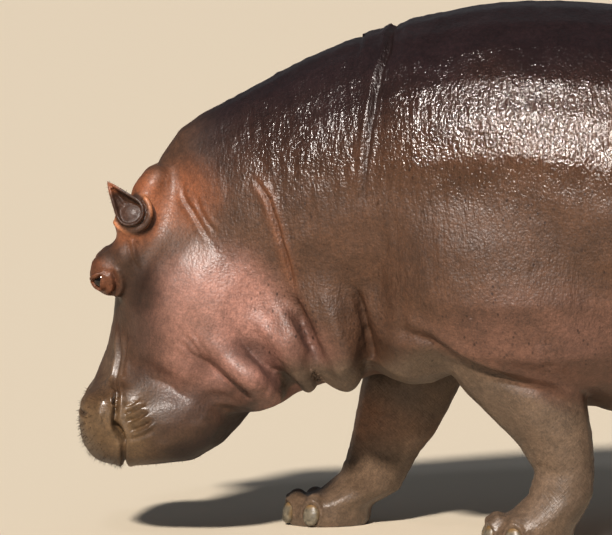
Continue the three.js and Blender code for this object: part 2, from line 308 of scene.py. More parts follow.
def makeEar(side):
    ear = addSphere(56, 32)
    editAll(ear)
    bpy.ops.mesh.bisect(plane_co=(0, 0, 0), plane_no=(0, 0, 1), clear_outer=True)
    bpy.ops.object.mode_set(mode="OBJECT")
    points = readPoints(ear)
    flat = np.hypot(points[:, 0], points[:, 1])
    turn = np.abs(np.arctan2(points[:, 1], points[:, 0]))
    rim, shoulder = earRim(turn)
    lean = np.clip(1 - turn / shoulder, 0, 1)                   # 1 at the tip
    along = points[:, 0] * rim
    across = points[:, 1] * rim
    deep = -np.sqrt(np.clip(1 - flat ** 2.2, 0, 1)) * earPlan["depth"] * (1 - 0.45 * lean)
    deep += 0.012 * lean * flat ** 3                            # the tip bends outwards
    inner = (1 - flat ** 4) * ease(0.1, 0.5, flat)
    deep += 0.011 * inner * np.exp(-((across - 0.010) / 0.005) ** 2)     # two ridges in the cup
    deep += 0.007 * inner * np.exp(-((across + 0.010) / 0.005) ** 2)
    axes, middle = earAxes(side)
    writePoints(ear, np.column_stack([along, across, deep]) @ axes + middle)
    applyModifier(ear, "SOLIDIFY", thickness=earPlan["wall"], offset=0)
    faceOutwards(ear)
    return ear


def makeEarRing(side):
    bpy.ops.object.select_all(action="DESELECT")
    large, small = earPlan["ring"]
    bpy.ops.mesh.primitive_torus_add(major_segments=72, minor_segments=14, major_radius=large,
                                     minor_radius=small)
    ring = bpy.context.object
    points = readPoints(ring)
    turn = np.arctan2(points[:, 1], points[:, 0])
    spine = np.column_stack([large * np.cos(turn), large * np.sin(turn), np.zeros(len(points))])
    taper = ease(0.75, 1.5, np.abs(turn))                       # none in front of the tip
    points = spine + (points - spine) * (0.15 + 0.85 * taper)[:, None]
    points[:, 2] += earPlan["ringSet"] - 0.04 * (1 - taper)
    axes, middle = earAxes(side)
    writePoints(ring, points @ axes + middle)
    return ring


# eyes: where they sit, and the lids round them

eyePlan = {
    "middle": (-1.306, 0.130, 0.655),
    "radius": 0.021,
    "lid": 0.0275,            # outside of the closed lid
    "faces": (-0.42, 0.87, -0.22),
    "slit": (-0.80, 0.0, -0.50),   # along the upper lid's edge, forwards and down
    "corners": (-0.66, 0.68),      # back and front ends of the opening, in parts of the lid's radius
    "lidLine": 0.42,               # height of the upper lid's edge, in the same parts
    "sag": 1.10,                   # how far the lower lid drops below it
    "iris": "#0d0806",
    "white": "#3a271c",            # it is brown in this animal
    "finish": {"Roughness": 0.08, "IOR": 1.38, "Coat Weight": 1.0, "Coat Roughness": 0.03},
}


def lidBall(side):
    middle = Vector(eyePlan["middle"])
    middle.y *= side
    bpy.ops.object.select_all(action="DESELECT")
    bpy.ops.mesh.primitive_uv_sphere_add(segments=40, ring_count=20, radius=eyePlan["lid"],
                                         location=middle)
    bpy.ops.object.transform_apply(location=True)
    return bpy.context.object


# toenails: where each one sits, and the round toe behind it

nailPlan = {
    "legs": ("foreleg_left", "foreleg_right", "hindleg_left", "hindleg_right"),
    "angles": (-62, -21, 21, 62),     # from straight ahead, round the front of each foot
    "halfSize": (0.0165, 0.0225, 0.0290),  # half its thickness, width and height
    "lean": 0.22,                     # how far its top leans back for its height
    "sole": 0.004,                    # the cut lower edge stands this high
    "toe": (0.030, 0.030, 0.036),
    "toeSet": (-0.022, 0.016),        # the toe's middle from the nail's: outwards and up
    "ridges": 7,
    "horn": ("#565147", "#787062"),   # darker and paler growth
    "root": "#7c6340",
    "stain": 0.012,                   # size of the paler patches
    "streak": 0.0025,                 # size of the fine streaks
    "finish": {"Roughness": 0.42, "IOR": 1.54},
}


def nailPlace(leg, count):
    low, high = (np.array(corner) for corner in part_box(f"{leg}_nail_{count + 1}"))
    turn = math.radians(nailPlan["angles"][count])
    return (low + high) / 2, np.array((-math.cos(turn), math.sin(turn), 0)), turn


def makeToe(leg, count):
    middle, out, turn = nailPlace(leg, count)
    away, up = nailPlan["toeSet"]
    return addLump(middle + out * away + np.array((0, 0, up)), nailPlan["toe"], math.pi - turn)


nailList = [(leg, count) for leg in nailPlan["legs"] for count in range(len(nailPlan["angles"]))]
growths = [make(side) for make in (makeEar, makeEarRing) for side in ("left", "right")]
growths += [makeToe(leg, count) for leg, count in nailList]
skin = joinPieces([skin] + growths + [lidBall(-1), lidBall(1)], "skin")
voxelRemesh(skin, skinPlan["fineVoxel"])


def fineWeight(points):
    x, y, z = points.T
    earTips = ease(0.80, 0.86, z) * (x < -1.1) * (np.abs(y) > 0.10)
    return 0.9 * (1 - 0.7 * earTips)


relax(skin, 6, fineWeight(readPoints(skin)))
place = readPoints(skin)
earRoots = strongest(ball(place, (-1.20, 0.115, 0.84), (0.085, 0.040, 0.11), 0.5),
                     ball(place, (-1.222, 0.130, 0.765), (0.07, 0.06, 0.045), 0.6))
fillHollows(skin, skinPlan["earRounds"], 0.9 * earRoots)
feet = ease(0.15, 0.09, place[:, 2]) * ease(-1.0, -0.9, place[:, 0])
fillHollows(skin, skinPlan["toeRounds"], 0.9 * feet * ease(0.012, 0.025, place[:, 2]))
print("fine body:", len(skin.data.vertices), "points")


# folds and creases
# Each has the depth and width of its crease, how far it fades in and out at its two ends,
# its bumps as (height, distance from the crease, spread), and its path. The path gives stops
# in metres on the left side: (x, z) is dropped on to the skin from the side, (x, y, z) goes to
# the nearest point of the skin. A path that goes down has its front on the plus side.

folds = {
    "main fold": (0.011, 0.009, (0.0, 0.6), [(0.004, 0.018, 0.008), (-0.004, -0.02, 0.014)], [
        (-0.571, 0, 1.29), (-0.578, -0.06, 1.27), (-0.592, 1.235), (-0.603, 1.205), (-0.614, 1.17),
        (-0.626, 1.117), (-0.634, 1.07), (-0.641, 1.025), (-0.648, 0.965), (-0.656, 0.89),
        (-0.665, 0.841), (-0.675, 0.766), (-0.681, 0.7)]),
    "collar roll": (0.007, 0.012, (0.0, 0.7), [(0.003, -0.02, 0.014)], [
        (-0.655, 0, 1.256), (-0.665, -0.09, 1.235), (-0.68, -0.15, 1.2), (-0.7, -0.2, 1.15)]),
    "neck fold": (0.007, 0.006, (0.25, 0.25), [(0.005, -0.012, 0.008), (0.002, 0.012, 0.009)], [
        (-0.943, 0.933), (-0.913, 0.897), (-0.893, 0.87), (-0.881, 0.837), (-0.866, 0.792),
        (-0.851, 0.738), (-0.834, 0.683), (-0.822, 0.611)]),
    "front of the hanging fold": (0.018, 0.022, (0.6, 0.25), [(0.008, -0.04, 0.022), (0.006, 0.046, 0.028)], [
        (-0.838, 0.68), (-0.826, 0.62), (-0.806, 0.56), (-0.788, 0.515), (-0.772, 0.47), (-0.76, 0.44)]),
    "lobe fold": (0.012, 0.012, (0.3, 0.1), [(0.006, 0.02, 0.016)], [
        (-0.681, 0.66), (-0.659, 0.596), (-0.639, 0.515), (-0.628, 0.456)]),
    "fold behind the ear": (0.005, 0.007, (0.3, 0.3), [(0.002, 0.011, 0.008), (0.002, -0.012, 0.008)], [
        (-1.106, 0.908), (-1.1, 0.86), (-1.083, 0.836), (-1.055, 0.79), (-1.025, 0.747)]),
    "second fold behind the ear": (0.003, 0.007, (0.3, 0.3), [(0.002, -0.01, 0.008)], [
        (-1.07, 0.88), (-1.062, 0.84), (-1.035, 0.795), (-1.005, 0.765)]),
    "fold from ear to eye": (0.005, 0.007, (0.1, 0.4), [(0.005, -0.009, 0.006)], [
        (-1.24, 0.759), (-1.232, 0.719), (-1.225, 0.7), (-1.205, 0.677)]),
    "jowl crease": (0.024, 0.025, (0.5, 0.25), [(0.01, 0.048, 0.03), (0.01, -0.046, 0.03)], [
        (-0.985, 0.61), (-0.972, 0.548), (-0.948, 0.505), (-0.915, 0.472), (-0.876, 0.434),
        (-0.84, 0.405), (-0.808, 0.378)]),
    "jaw crease": (0.024, 0.026, (0.5, 0.15), [(0.018, -0.046, 0.028), (-0.008, 0.036, 0.026)], [
        (-1.115, 0.492), (-1.092, 0.482), (-1.044, 0.453), (-1.014, 0.42), (-0.965, 0.386),
        (-0.935, 0.362)]),
    "corner wrinkle 1": (0.004, 0.007, (0.4, 0.4), [(0.002, 0.01, 0.006)], [
        (-1.12, 0.515), (-1.098, 0.498), (-1.072, 0.462)]),
    "corner wrinkle 2": (0.004, 0.007, (0.4, 0.4), [(0.002, 0.01, 0.006)], [
        (-1.104, 0.532), (-1.08, 0.51), (-1.056, 0.47)]),
    "corner wrinkle 3": (0.003, 0.007, (0.4, 0.4), [(0.002, 0.01, 0.006)], [
        (-1.085, 0.542), (-1.062, 0.515), (-1.043, 0.478)]),
    "cheek crease": (0.01, 0.026, (0.4, 0.4), [(0.006, -0.05, 0.03)], [
        (-1.21, 0.418), (-1.172, 0.409), (-1.14, 0.4), (-1.107, 0.376), (-1.072, 0.359)]),
    "face groove": (0.008, 0.01, (0.4, 0.0), [(0.005, 0.014, 0.009), (0.005, -0.014, 0.009)], [
        (-1.262, -0.075, 0.56), (-1.265, -0.078, 0.513), (-1.265, -0.085, 0.473), (-1.272, -0.1, 0.443),
        (-1.28, -0.12, 0.414), (-1.273, -0.15, 0.39)]),
    "second face groove": (0.006, 0.009, (0.3, 0.2), [(0.003, -0.013, 0.009)], [
        (-1.241, -0.108, 0.53), (-1.252, -0.105, 0.477), (-1.26, -0.11, 0.447), (-1.262, -0.13, 0.405)]),
    "mouth": (0.02, 0.007, (0.12, 0.0), [(0.003, 0.013, 0.008), (0.003, -0.013, 0.008)], [
        (-1.268, 0.394), (-1.268, 0.365), (-1.269, 0.331), (-1.274, 0.302), (-1.26, 0.28),
        (-1.252, 0.261), (-1.252, 0.227), (-1.252, -0.128, 0.194), (-1.25, -0.07, 0.186),
        (-1.25, 0, 0.184)]),
    "mouth gap": (0.026, 0.011, (0.35, 0.35), [], [
        (-1.273, 0.31), (-1.266, 0.29), (-1.255, 0.266), (-1.25, 0.245)]),
    "lip wrinkle 1": (0.004, 0.006, (0.2, 0.3), [(0.002, 0.008, 0.005)], [
        (-1.249, 0.344), (-1.234, 0.348), (-1.212, 0.362)]),
    "lip wrinkle 2": (0.008, 0.0055, (0.1, 0.3), [(0.005, 0.009, 0.005)], [
        (-1.247, 0.328), (-1.227, 0.334), (-1.195, 0.353)]),
    "lip wrinkle 3": (0.008, 0.0055, (0.1, 0.3), [(0.005, 0.009, 0.005)], [
        (-1.241, 0.308), (-1.214, 0.317), (-1.184, 0.337)]),
    "lip wrinkle 4": (0.008, 0.0055, (0.1, 0.3), [(0.005, 0.009, 0.005)], [
        (-1.234, 0.284), (-1.204, 0.293), (-1.171, 0.316)]),
    "lip wrinkle 5": (0.004, 0.006, (0.1, 0.3), [(0.002, 0.008, 0.005)], [
        (-1.236, 0.262), (-1.205, 0.27), (-1.168, 0.29)]),
    "nostril": (0.009, 0.006, (0.3, 0.2), [(0.002, 0.012, 0.009), (0.002, -0.013, 0.009)], [
        (-1.316, -0.16, 0.326), (-1.332, -0.14, 0.322), (-1.346, -0.11, 0.328), (-1.352, -0.08, 0.345),
        (-1.346, -0.06, 0.366)]),
    "fold over the foreleg": (0.012, 0.02, (0.2, 0.15), [(0.007, -0.03, 0.02)], [
        (-0.6, 0.56), (-0.525, 0.532), (-0.469, 0.508), (-0.396, 0.468), (-0.342, 0.443),
        (-0.286, 0.422), (-0.212, 0.396), (-0.149, 0.362), (-0.105, 0.334)]),
    "upper lid fold": (0.004, 0.006, (0.2, 0.2), [(0.003, 0.008, 0.006)], [
        (-1.348, -0.13, 0.668), (-1.335, -0.148, 0.679), (-1.315, -0.16, 0.685), (-1.296, -0.16, 0.68),
        (-1.282, -0.155, 0.665)]),
    "crease behind the eye": (0.009, 0.008, (0.15, 0.15), [(0.005, -0.012, 0.008), (0.003, 0.012, 0.008)], [
        (-1.284, -0.15, 0.684), (-1.272, -0.145, 0.662), (-1.268, -0.14, 0.638), (-1.275, -0.135, 0.612),
        (-1.288, -0.125, 0.59)]),
}


def smoothPath(stops, gap):
    # a smooth curve through the stops, with a point every gap metres
    stops = np.array(stops, float)
    ends = np.vstack([2 * stops[0] - stops[1], stops, 2 * stops[-1] - stops[-2]])
    curve = []
    for k in range(1, len(ends) - 2):
        before, start, end, after = ends[k - 1:k + 3]
        count = max(2, int(np.linalg.norm(end - start) / gap))
        for t in np.arange(count) / count:
            curve.append(0.5 * (2 * start + (end - before) * t
                                + (2 * before - 5 * start + 4 * end - after) * t * t
                                + (3 * start - before - 3 * end + after) * t ** 3))
    curve.append(stops[-1])
    return np.array(curve)


def layOnSkin(path, tree, side):
    # puts a path's stops on the skin of one side, as a close row of points
    placed = []
    for stop in path:
        if len(stop) == 2:
            start = Vector((stop[0], side * 1.2, stop[1]))
            hit = tree.ray_cast(start, Vector((0, -side, 0)))[0]
        else:
            hit = tree.find_nearest(Vector((stop[0], -side * stop[1], stop[2])))[0]
        placed.append(hit)
    row = np.array([tree.find_nearest(Vector(spot))[0] for spot in smoothPath(placed, 0.006)])
    for _ in range(6):                                          # no zigzag across a valley
        row[1:-1] += 0.25 * (row[:-2] + row[2:] - 2 * row[1:-1])
    return row


def nearRow(points, normals, row, reach, side):
    # for the points within reach: which they are, their signed distance from
    # the row (plus on its front or lower side), and how far along it they lie
    low, high = row.min(axis=0) - reach, row.max(axis=0) + reach
    picked = np.flatnonzero(np.all((points > low) & (points < high), axis=1))
    chosen = points[picked]
    away = (chosen ** 2).sum(axis=1)[:, None] + (row ** 2).sum(axis=1) - 2 * chosen @ row.T
    nearest = away.argmin(axis=1)
    best = away[np.arange(len(picked)), nearest]
    keep = best < reach ** 2
    picked, chosen, nearest = picked[keep], chosen[keep], nearest[keep]
    along = np.gradient(row, axis=0)
    along /= np.linalg.norm(along, axis=1)[:, None]
    offset = chosen - row[nearest]
    lengthwise = (offset * along[nearest]).sum(axis=1)
    inside = (nearest > 0) & (nearest < len(row) - 1)
    sideways = np.linalg.norm(offset - lengthwise[:, None] * along[nearest] * inside[:, None], axis=1)
    across = np.cross(along[nearest], normals[picked])
    sign = np.where((offset * across).sum(axis=1) >= 0, 1, -1) * -side
    return picked, sideways * sign, nearest / (len(row) - 1)


def carveFolds(obj):
    points = readPoints(obj)
    normals = readPoints(obj, "normal")
    tree = BVHTree.FromObject(obj, bpy.context.evaluated_depsgraph_get())
    picked, middle = neighbourMiddle(obj, ease(0.0, -0.1, points[:, 0]))
    for _ in range(10):                                         # even directions, so that no beads form
        normals[picked] = middle(normals)
    normals /= np.linalg.norm(normals, axis=1)[:, None]
    shift = np.zeros(len(points))
    for name, (depth, width, (start, finish), bumps, path) in folds.items():
        reach = 2.5 * max([width] + [abs(bump[1]) + bump[2] for bump in bumps])
        moved = np.zeros(len(points))
        for side in (-1, 1):
            row = layOnSkin(path, tree, side)
            foldRows[name, side] = row
            picked, away, along = nearRow(points, normals, row, reach, side)
            change = -depth * np.clip(1 - np.abs(away) / (1.6 * width), 0, 1) ** 1.6
            for height, place, spread in bumps:
                change += height * np.exp(-((away - place) / spread) ** 2)
            fade = ease(0, start, along) if start else np.ones(len(along))
            if finish:
                fade = fade * ease(1, 1 - finish, along)
            change = change * fade
            stronger = np.abs(change) > np.abs(moved[picked])   # the two sides meet along the back
            moved[picked[stronger]] = change[stronger]
        shift += moved
    return points + normals * shift[:, None]


# soft swellings to the sides: middle, radii and height
swells = {
    "first jowl": ((-0.925, 0.20, 0.420), (0.110, 0.16, 0.085), 0.024),
    "second jowl": ((-0.838, 0.20, 0.500), (0.080, 0.16, 0.110), 0.022),
    "hanging fold": ((-0.706, 0.20, 0.510), (0.062, 0.16, 0.130), 0.016),
    "lip over the tusk": ((-1.200, 0.19, 0.330), (0.055, 0.12, 0.050), 0.004),
    "chin": ((-1.150, 0.19, 0.240), (0.040, 0.10, 0.030), 0.006),
    "upper lip": ((-1.310, 0.13, 0.270), (0.075, 0.14, 0.090), 0.008),
    "temple": ((-1.215, 0.19, 0.600), (0.070, 0.14, 0.120), -0.012),
}


def swell(obj):
    points = readPoints(obj)
    normals = readPoints(obj, "normal")
    shift = np.zeros(len(points))
    for middle, radii, height in swells.values():
        shift += height * ball(points, middle, radii, 1.0)
    sideways = ease(0.05, 0.5, np.abs(normals[:, 1]))
    points[:, 1] += np.sign(points[:, 1]) * shift * sideways
    return points


def shapeCuticles(points, normals):
    # a raised ring of flesh round each nail, and a bed for the nail inside it
    shift = np.zeros(len(points))
    for leg, count in nailList:
        middle, out = nailPlace(leg, count)[:2]
        offset = points - middle
        near = np.flatnonzero((np.linalg.norm(offset, axis=1) < 0.06) & (offset @ out > -0.03))
        across = offset[near] @ np.array((out[1], -out[0], 0))
        ring = np.hypot(across / nailPlan["halfSize"][1], offset[near, 2] / nailPlan["halfSize"][2])
        change = 0.0045 * np.exp(-((ring - 1.18) / 0.16) ** 2) * ease(-0.022, 0.0, offset[near, 2])
        shift[near] += change - 0.004 * ease(1.0, 0.8, ring)
    return points + normals * shift[:, None]


foldRows = {}
writePoints(skin, swell(skin))
writePoints(skin, carveFolds(skin))
relax(skin, 8, 0.8 * ball(readPoints(skin), (-0.81, 0.20, 0.45), (0.14, 0.30, 0.15), 0.6))
writePoints(skin, shapeCuticles(readPoints(skin), readPoints(skin, "normal")))
print("folds carved:", len(folds))


# eye openings

def eyeAxes(side):
    # outwards, along the slit and across it, for the left (-1) or right (1) eye
    faces = Vector((eyePlan["faces"][0], eyePlan["faces"][1] * side, eyePlan["faces"][2])).normalized()
    slit = Vector((eyePlan["slit"][0], 0, eyePlan["slit"][2]))
    slit = (slit - faces * slit.dot(faces)).normalized()
    up = slit.cross(faces) * -side
    middle = Vector(eyePlan["middle"])
    middle.y *= side
    return middle, faces, slit, up


def refineLids(obj):
    # smaller faces round the eyes, for clean lids
    pickOnly(obj)
    points = readPoints(obj)
    close = ball(points, eyePlan["middle"], (0.046, 0.046, 0.046), 0.01) > 0
    corners = np.empty(len(obj.data.loops), np.int64)
    obj.data.loops.foreach_get("vertex_index", corners)
    starts = np.empty(len(obj.data.polygons), np.int64)
    obj.data.polygons.foreach_get("loop_start", starts)
    obj.data.vertices.foreach_set("select", np.zeros(len(points), bool))
    obj.data.edges.foreach_set("select", np.zeros(len(obj.data.edges), bool))
    obj.data.polygons.foreach_set("select", np.logical_and.reduceat(close[corners], starts))
    bpy.ops.object.mode_set(mode="EDIT")
    bpy.ops.mesh.select_mode(type="FACE")
    bpy.ops.mesh.subdivide(number_cuts=2, smoothness=0)
    bpy.ops.object.mode_set(mode="OBJECT")
    relax(obj, 8, ball(readPoints(obj), eyePlan["middle"], (0.045, 0.045, 0.045), 0.3) * 0.9)


def openLids(obj):
    # the upper lid is a straight overhanging edge, the lower lid sags to a corner at the front
    points = readPoints(obj)
    for side in (-1, 1):
        middle, faces, slit, up = eyeAxes(side)
        offset = points - np.array(middle)
        away = np.linalg.norm(offset, axis=1)
        near = np.flatnonzero(away < 0.036)
        part = offset[near] / away[near, None]
        front = ease(-0.1, 0.2, part @ np.array(faces))
        u = part @ np.array(slit)
        v = part @ np.array(up)
        back, ahead = eyePlan["corners"]
        s = np.clip((u - back) / (ahead - back), 0, 1)
        arch = 1 - (2 * s - 1) ** 4
        lower = eyePlan["lidLine"] - eyePlan["sag"] * 1.4 * s ** 0.8 * (1 - s ** 8)
        upper = eyePlan["lidLine"] + 0.05 * arch
        within = np.minimum(np.minimum(v - lower, upper - v), 0.5 * np.minimum(u - back, ahead - u))
        opening = ease(-0.03, 0.07, within) * front
        rim = 0.0012 * np.exp(-((within + 0.10) / 0.07) ** 2) * front
        brow = 0.0034 * np.exp(-((v - upper - 0.16) / 0.13) ** 2) * arch * front * (v > upper - 0.02)
        target = (away[near] + rim + brow) * (1 - opening) + 0.0160 * opening
        points[near] = np.array(middle) + part * target[:, None]
    return points


refineLids(skin)
writePoints(skin, openLids(skin))


# fine shape: the height, cell size and seed of the wrinkles and the unevenness

wrinklePlan = {
    "neck": (0.0016, (0.014, 0.05, 0.055), 3),
    "flank": (0.0010, (0.018, 0.05, 0.060), 7),
    "legs": (0.0006, (0.05, 0.05, 0.013), 11),
    "wrist": (0.0011, (0.06, 0.06, 0.011), 12),
    "body": (0.0010, (0.035, 0.035, 0.035), 13),
}


def addWrinkles(obj):
    points = readPoints(obj)
    normals = readPoints(obj, "normal")
    x, z = points[:, 0], points[:, 2]
    legs = ease(0.42, 0.30, z) * (x > -0.86)
    where = {
        "neck": ease(-1.12, -0.95, x) * ease(-0.35, -0.55, x) * ease(0.55, 0.75, z),
        "flank": ease(-0.62, -0.45, x) * ease(0.40, 0.60, z),
        "legs": legs * ease(0.05, 0.12, z),
        "wrist": ease(0.08, 0.12, z) * ease(0.26, 0.20, z) * (x > -0.86),
        "body": ease(-1.1, -0.8, x),
    }
    shift = np.zeros(len(points))
    for name, (height, size, seed) in wrinklePlan.items():
        shift += height * grain(points, size, seed) * where[name]
    points = points + normals * shift[:, None]
    points[:, 2] = np.maximum(points[:, 2], skinPlan["soleHeight"])
    return points


writePoints(skin, addWrinkles(skin))

if len(skin.data.polygons) * 2 > skinPlan["triangles"]:
    share = skinPlan["triangles"] / (len(skin.data.polygons) * 2)
    skin.vertex_groups.new(name="coarse")
    place = readPoints(skin)
    fine = ease(-0.95, -1.10, place[:, 0]) * 0.65 + 0.25
    fine = np.maximum(fine, ball(place, eyePlan["middle"], (0.05, 0.05, 0.05), 0.2))
    layer = skin.vertex_groups["coarse"]
    for level in range(2, 11):
        chosen = np.flatnonzero((fine > (level - 0.5) / 10) & (fine <= (level + 0.5) / 10))
        layer.add(chosen.tolist(), 1 - level / 10, "REPLACE")
    applyModifier(skin, "DECIMATE", ratio=share, use_collapse_triangulate=True)
    skin.vertex_groups.clear()
pickOnly(skin)
bpy.ops.object.shade_smooth()
print("skin:", len(skin.data.polygons), "faces")


# materials

def hexColour(text):
    # an sRGB hex value as linear colour
    parts = [int(text[k:k + 2], 16) / 255 for k in (1, 3, 5)]
    return tuple(p / 12.92 if p <= 0.04045 else ((p + 0.055) / 1.055) ** 2.4 for p in parts) + (1,)


def newMaterial(name, finish):
    # finish holds the values that are the same all over
    material = bpy.data.materials.new(name)
    material.use_nodes = True
    tree = material.node_tree
    shader = tree.nodes["Principled BSDF"]
    for socket, value in finish.items():
        shader.inputs[socket].default_value = value
    return material, tree, shader


def addNode(tree, kind, inputs=None, output=0, **settings):
    # adds a node and gives one of its outputs; inputs are values, or sockets to link
    node = tree.nodes.new("ShaderNode" + kind)
    for name, value in settings.items():
        setattr(node, name, value)
    for name, value in (inputs or {}).items():
        if isinstance(value, bpy.types.NodeSocket):
            tree.links.new(value, node.inputs[name])
        else:
            node.inputs[name].default_value = value
    return node.outputs[output]


# where the skin's colours and finishes lie, each from 0 to 1; some colours also paint shade and light
maskNames = ("crown", "pink", "warm", "umberAndShade", "ring", "olive", "grey", "legs", "crease", "gloss",
             "pores", "wrinkled", "pebbled")

hidePlan = {
    "flank": "#523a2b",
    "crown": "#271a1c",
    # pink of the cheeks, jowls and belly; also painted light on the lower far foreleg
    "pink": "#946e64",
    # pale orange of the ring round each ear; also a painted highlight along the neck fold and painted light
    # on the lower far foreleg
    "ring": "#b07a58",
    # orange-brown round the ears and eyes; also partly a painted highlight along the neck fold
    "warm": "#845236",
    # dark brown; also painted shade under the jaw and chin, round the jowls, in the ear hollows and on the
    # top of the far foreleg
    "umberAndShade": "#2f1d13",
    "olive": "#64503a",
    "grey": "#675749",
    # dark red-brown of the pores, and painted shade in the mouth, nostrils, folds and creases and under the
    # jaw
    "crease": "#220f09",
    "poreShade": 0.7,                 # how dark the pores are
    "fineShare": 0.5,                 # height of the fine grain, of the pebbles and of the lines
    "pebbleShare": 0.25,
    "lineShare": 0.7,
    "relief": (0.7, 0.005),           # strength and depth of the bump
    "finish": {"IOR": 1.55, "Coat Weight": 0.15, "Coat Roughness": 0.25, "Coat IOR": 1.4},
    "spaces": {                       # size of a pattern's cells in metres, and turn about Y
        "pore": ((0.017, 0.03, 0.026), 0),
        "clump": ((0.05, 0.1, 0.2), 0),
        "wrinkle": ((0.009, 0.03, 0.034), 0),
        "rising": ((0.0034, 0.03, 0.022), 0.75),
        "falling": ((0.0034, 0.03, 0.022), -0.75),
    },
    "noises": {                       # space, size of a cell, detail, roughness
        "blotch": ("plain", 0.09, 4, 0.5),
        "fleck": ("plain", 0.014, 3, 0.5),
        "speck": ("plain", 0.0045, 2, 0.5),
        "fineGrain": ("plain", 0.006, 3, 0.5),
        "clump": ("clump", 1, 2, 0.5),
        "wrinkle": ("wrinkle", 1, 2, 0.6),
        "rising": ("rising", 1, 2, 0.5),
        "falling": ("falling", 1, 2, 0.5),
    },
    "cells": {                        # space, size of a cell
        "pore": ("pore", 1),
        "pebble": ("plain", 0.0075),
    },
    "ranges": {                       # of what, from low and high, to low and high
        "blotch": ("blotch", 0.3, 0.7, 0.80, 1.18),
        "fleck": ("fleck", 0.3, 0.7, 0.80, 1.18),
        "speck": ("speck", 0.32, 0.68, 0.80, 1.17),
        "pore": ("pore", 0.22, 0.10, 0, 1),
        "clump": ("clump", 0.46, 0.62, 0, 1),
        "gloss": ("gloss", 0, 1, 0.60, 0.165),          # roughness where dry and where wet
        "uneven": ("blotch", 0.3, 0.7, -0.03, 0.04),
    },
}


def makeHide():
    # wet hippopotamus hide: nearly hairless, finely wrinkled, with a film of sweat that
    # gives broad broken highlights over dark brown and pink skin
    material, tree, shader = newMaterial("hippopotamus_hide", hidePlan["finish"])
    spaces = {"plain": addNode(tree, "TexCoord", output="Object")}
    for name, (size, turn) in hidePlan["spaces"].items():
        inputs = {"Vector": spaces["plain"], "Scale": size, "Rotation": (0, turn, 0)}
        spaces[name] = addNode(tree, "Mapping", inputs, vector_type="TEXTURE")
    parts = {name: addNode(tree, "Attribute", output="Fac", attribute_name=name) for name in maskNames}
    for name, (space, size, detail, roughness) in hidePlan["noises"].items():
        inputs = {"Vector": spaces[space], "Scale": 1 / size, "Detail": detail, "Roughness": roughness}
        parts[name] = addNode(tree, "TexNoise", inputs)
    for name, (space, size) in hidePlan["cells"].items():
        inputs = {"Vector": spaces[space], "Scale": 1 / size}
        parts[name] = addNode(tree, "TexVoronoi", inputs, feature="F1")
    ranges = {}
    for name, (source, *limits) in hidePlan["ranges"].items():
        inputs = zip(("Value", "From Min", "From Max", "To Min", "To Max"), (parts[source], *limits))
        ranges[name] = addNode(tree, "MapRange", dict(inputs))

    # several of these layers also lay painted shade and painted light, as set out in paintMasks
    colour = hexColour(hidePlan["flank"])
    for name in ("crown", "pink", "grey", "olive", "warm", "ring", "umberAndShade", "crease"):
        inputs = {0: parts[name], 6: colour, 7: hexColour(hidePlan[name])}
        colour = addNode(tree, "Mix", inputs, 2, data_type="RGBA")
    tone = ranges["blotch"]
    for name in ("fleck", "speck"):
        tone = addNode(tree, "Math", {0: tone, 1: ranges[name]}, operation="MULTIPLY")
    shade = addNode(tree, "CombineColor", {0: tone, 1: tone, 2: tone})
    inputs = {0: 1.0, 6: colour, 7: shade}
    colour = addNode(tree, "Mix", inputs, 2, data_type="RGBA", blend_type="MULTIPLY")
    # dark pores in upright rows, about 17 mm apart and 4 mm across
    dots = ranges["pore"]
    for factor in (ranges["clump"], parts["pores"], hidePlan["poreShade"]):
        dots = addNode(tree, "Math", {0: dots, 1: factor}, operation="MULTIPLY")
    inputs = {0: dots, 6: colour, 7: hexColour(hidePlan["crease"])}
    colour = addNode(tree, "Mix", inputs, 2, data_type="RGBA")
    tree.links.new(colour, shader.inputs["Base Color"])

    # a pebbled grain of about 7 mm, upright wrinkles about 9 mm apart, crossing lines on the legs
    fine = addNode(tree, "Math", {0: parts["fineGrain"], 1: hidePlan["fineShare"]}, operation="MULTIPLY")
    pebble = addNode(tree, "Math", {0: parts["pebble"], 1: hidePlan["pebbleShare"]}, operation="MULTIPLY")
    relief = addNode(tree, "Math", {0: fine, 1: pebble}, operation="SUBTRACT")
    relief = addNode(tree, "Math", {0: relief, 1: parts["pebbled"]}, operation="MULTIPLY")
    lines = addNode(tree, "Math", {0: parts["rising"], 1: parts["falling"]}, operation="MULTIPLY")
    onLegs = addNode(tree, "Math", {0: parts["legs"], 1: hidePlan["lineShare"]}, operation="MULTIPLY")
    for pattern, where in ((parts["wrinkle"], parts["wrinkled"]), (lines, onLegs)):
        added = addNode(tree, "Math", {0: pattern, 1: where}, operation="MULTIPLY")
        relief = addNode(tree, "Math", {0: relief, 1: added}, operation="ADD")
    strength, depth = hidePlan["relief"]
    bump = addNode(tree, "Bump", {"Height": relief, "Strength": strength, "Distance": depth})
    for socket in ("Normal", "Coat Normal"):
        tree.links.new(bump, shader.inputs[socket])
    rough = addNode(tree, "Math", {0: ranges["gloss"], 1: ranges["uneven"]}, operation="ADD")
    tree.links.new(rough, shader.inputs["Roughness"])
    return material


def setMask(obj, name, values):
    layer = obj.data.attributes.new(name, "FLOAT", "POINT")
    layer.data.foreach_set("value", np.clip(values, 0, 1).astype(np.float32))


def foldShade(points, normals, names, reach):
    # how near each point is to the given folds, from 0 to 1
    shade = np.zeros(len(points))
    for name in names:
        for side in (-1, 1):
            picked, away, along = nearRow(points, normals, foldRows[name, side], reach, side)
            start, finish = folds[name][2]
            fade = ease(0, start + 0.001, along) * ease(1, 0.999 - finish, along)
            shade[picked] = np.maximum(shade[picked], (1 - np.abs(away) / reach) * fade)
    return shade


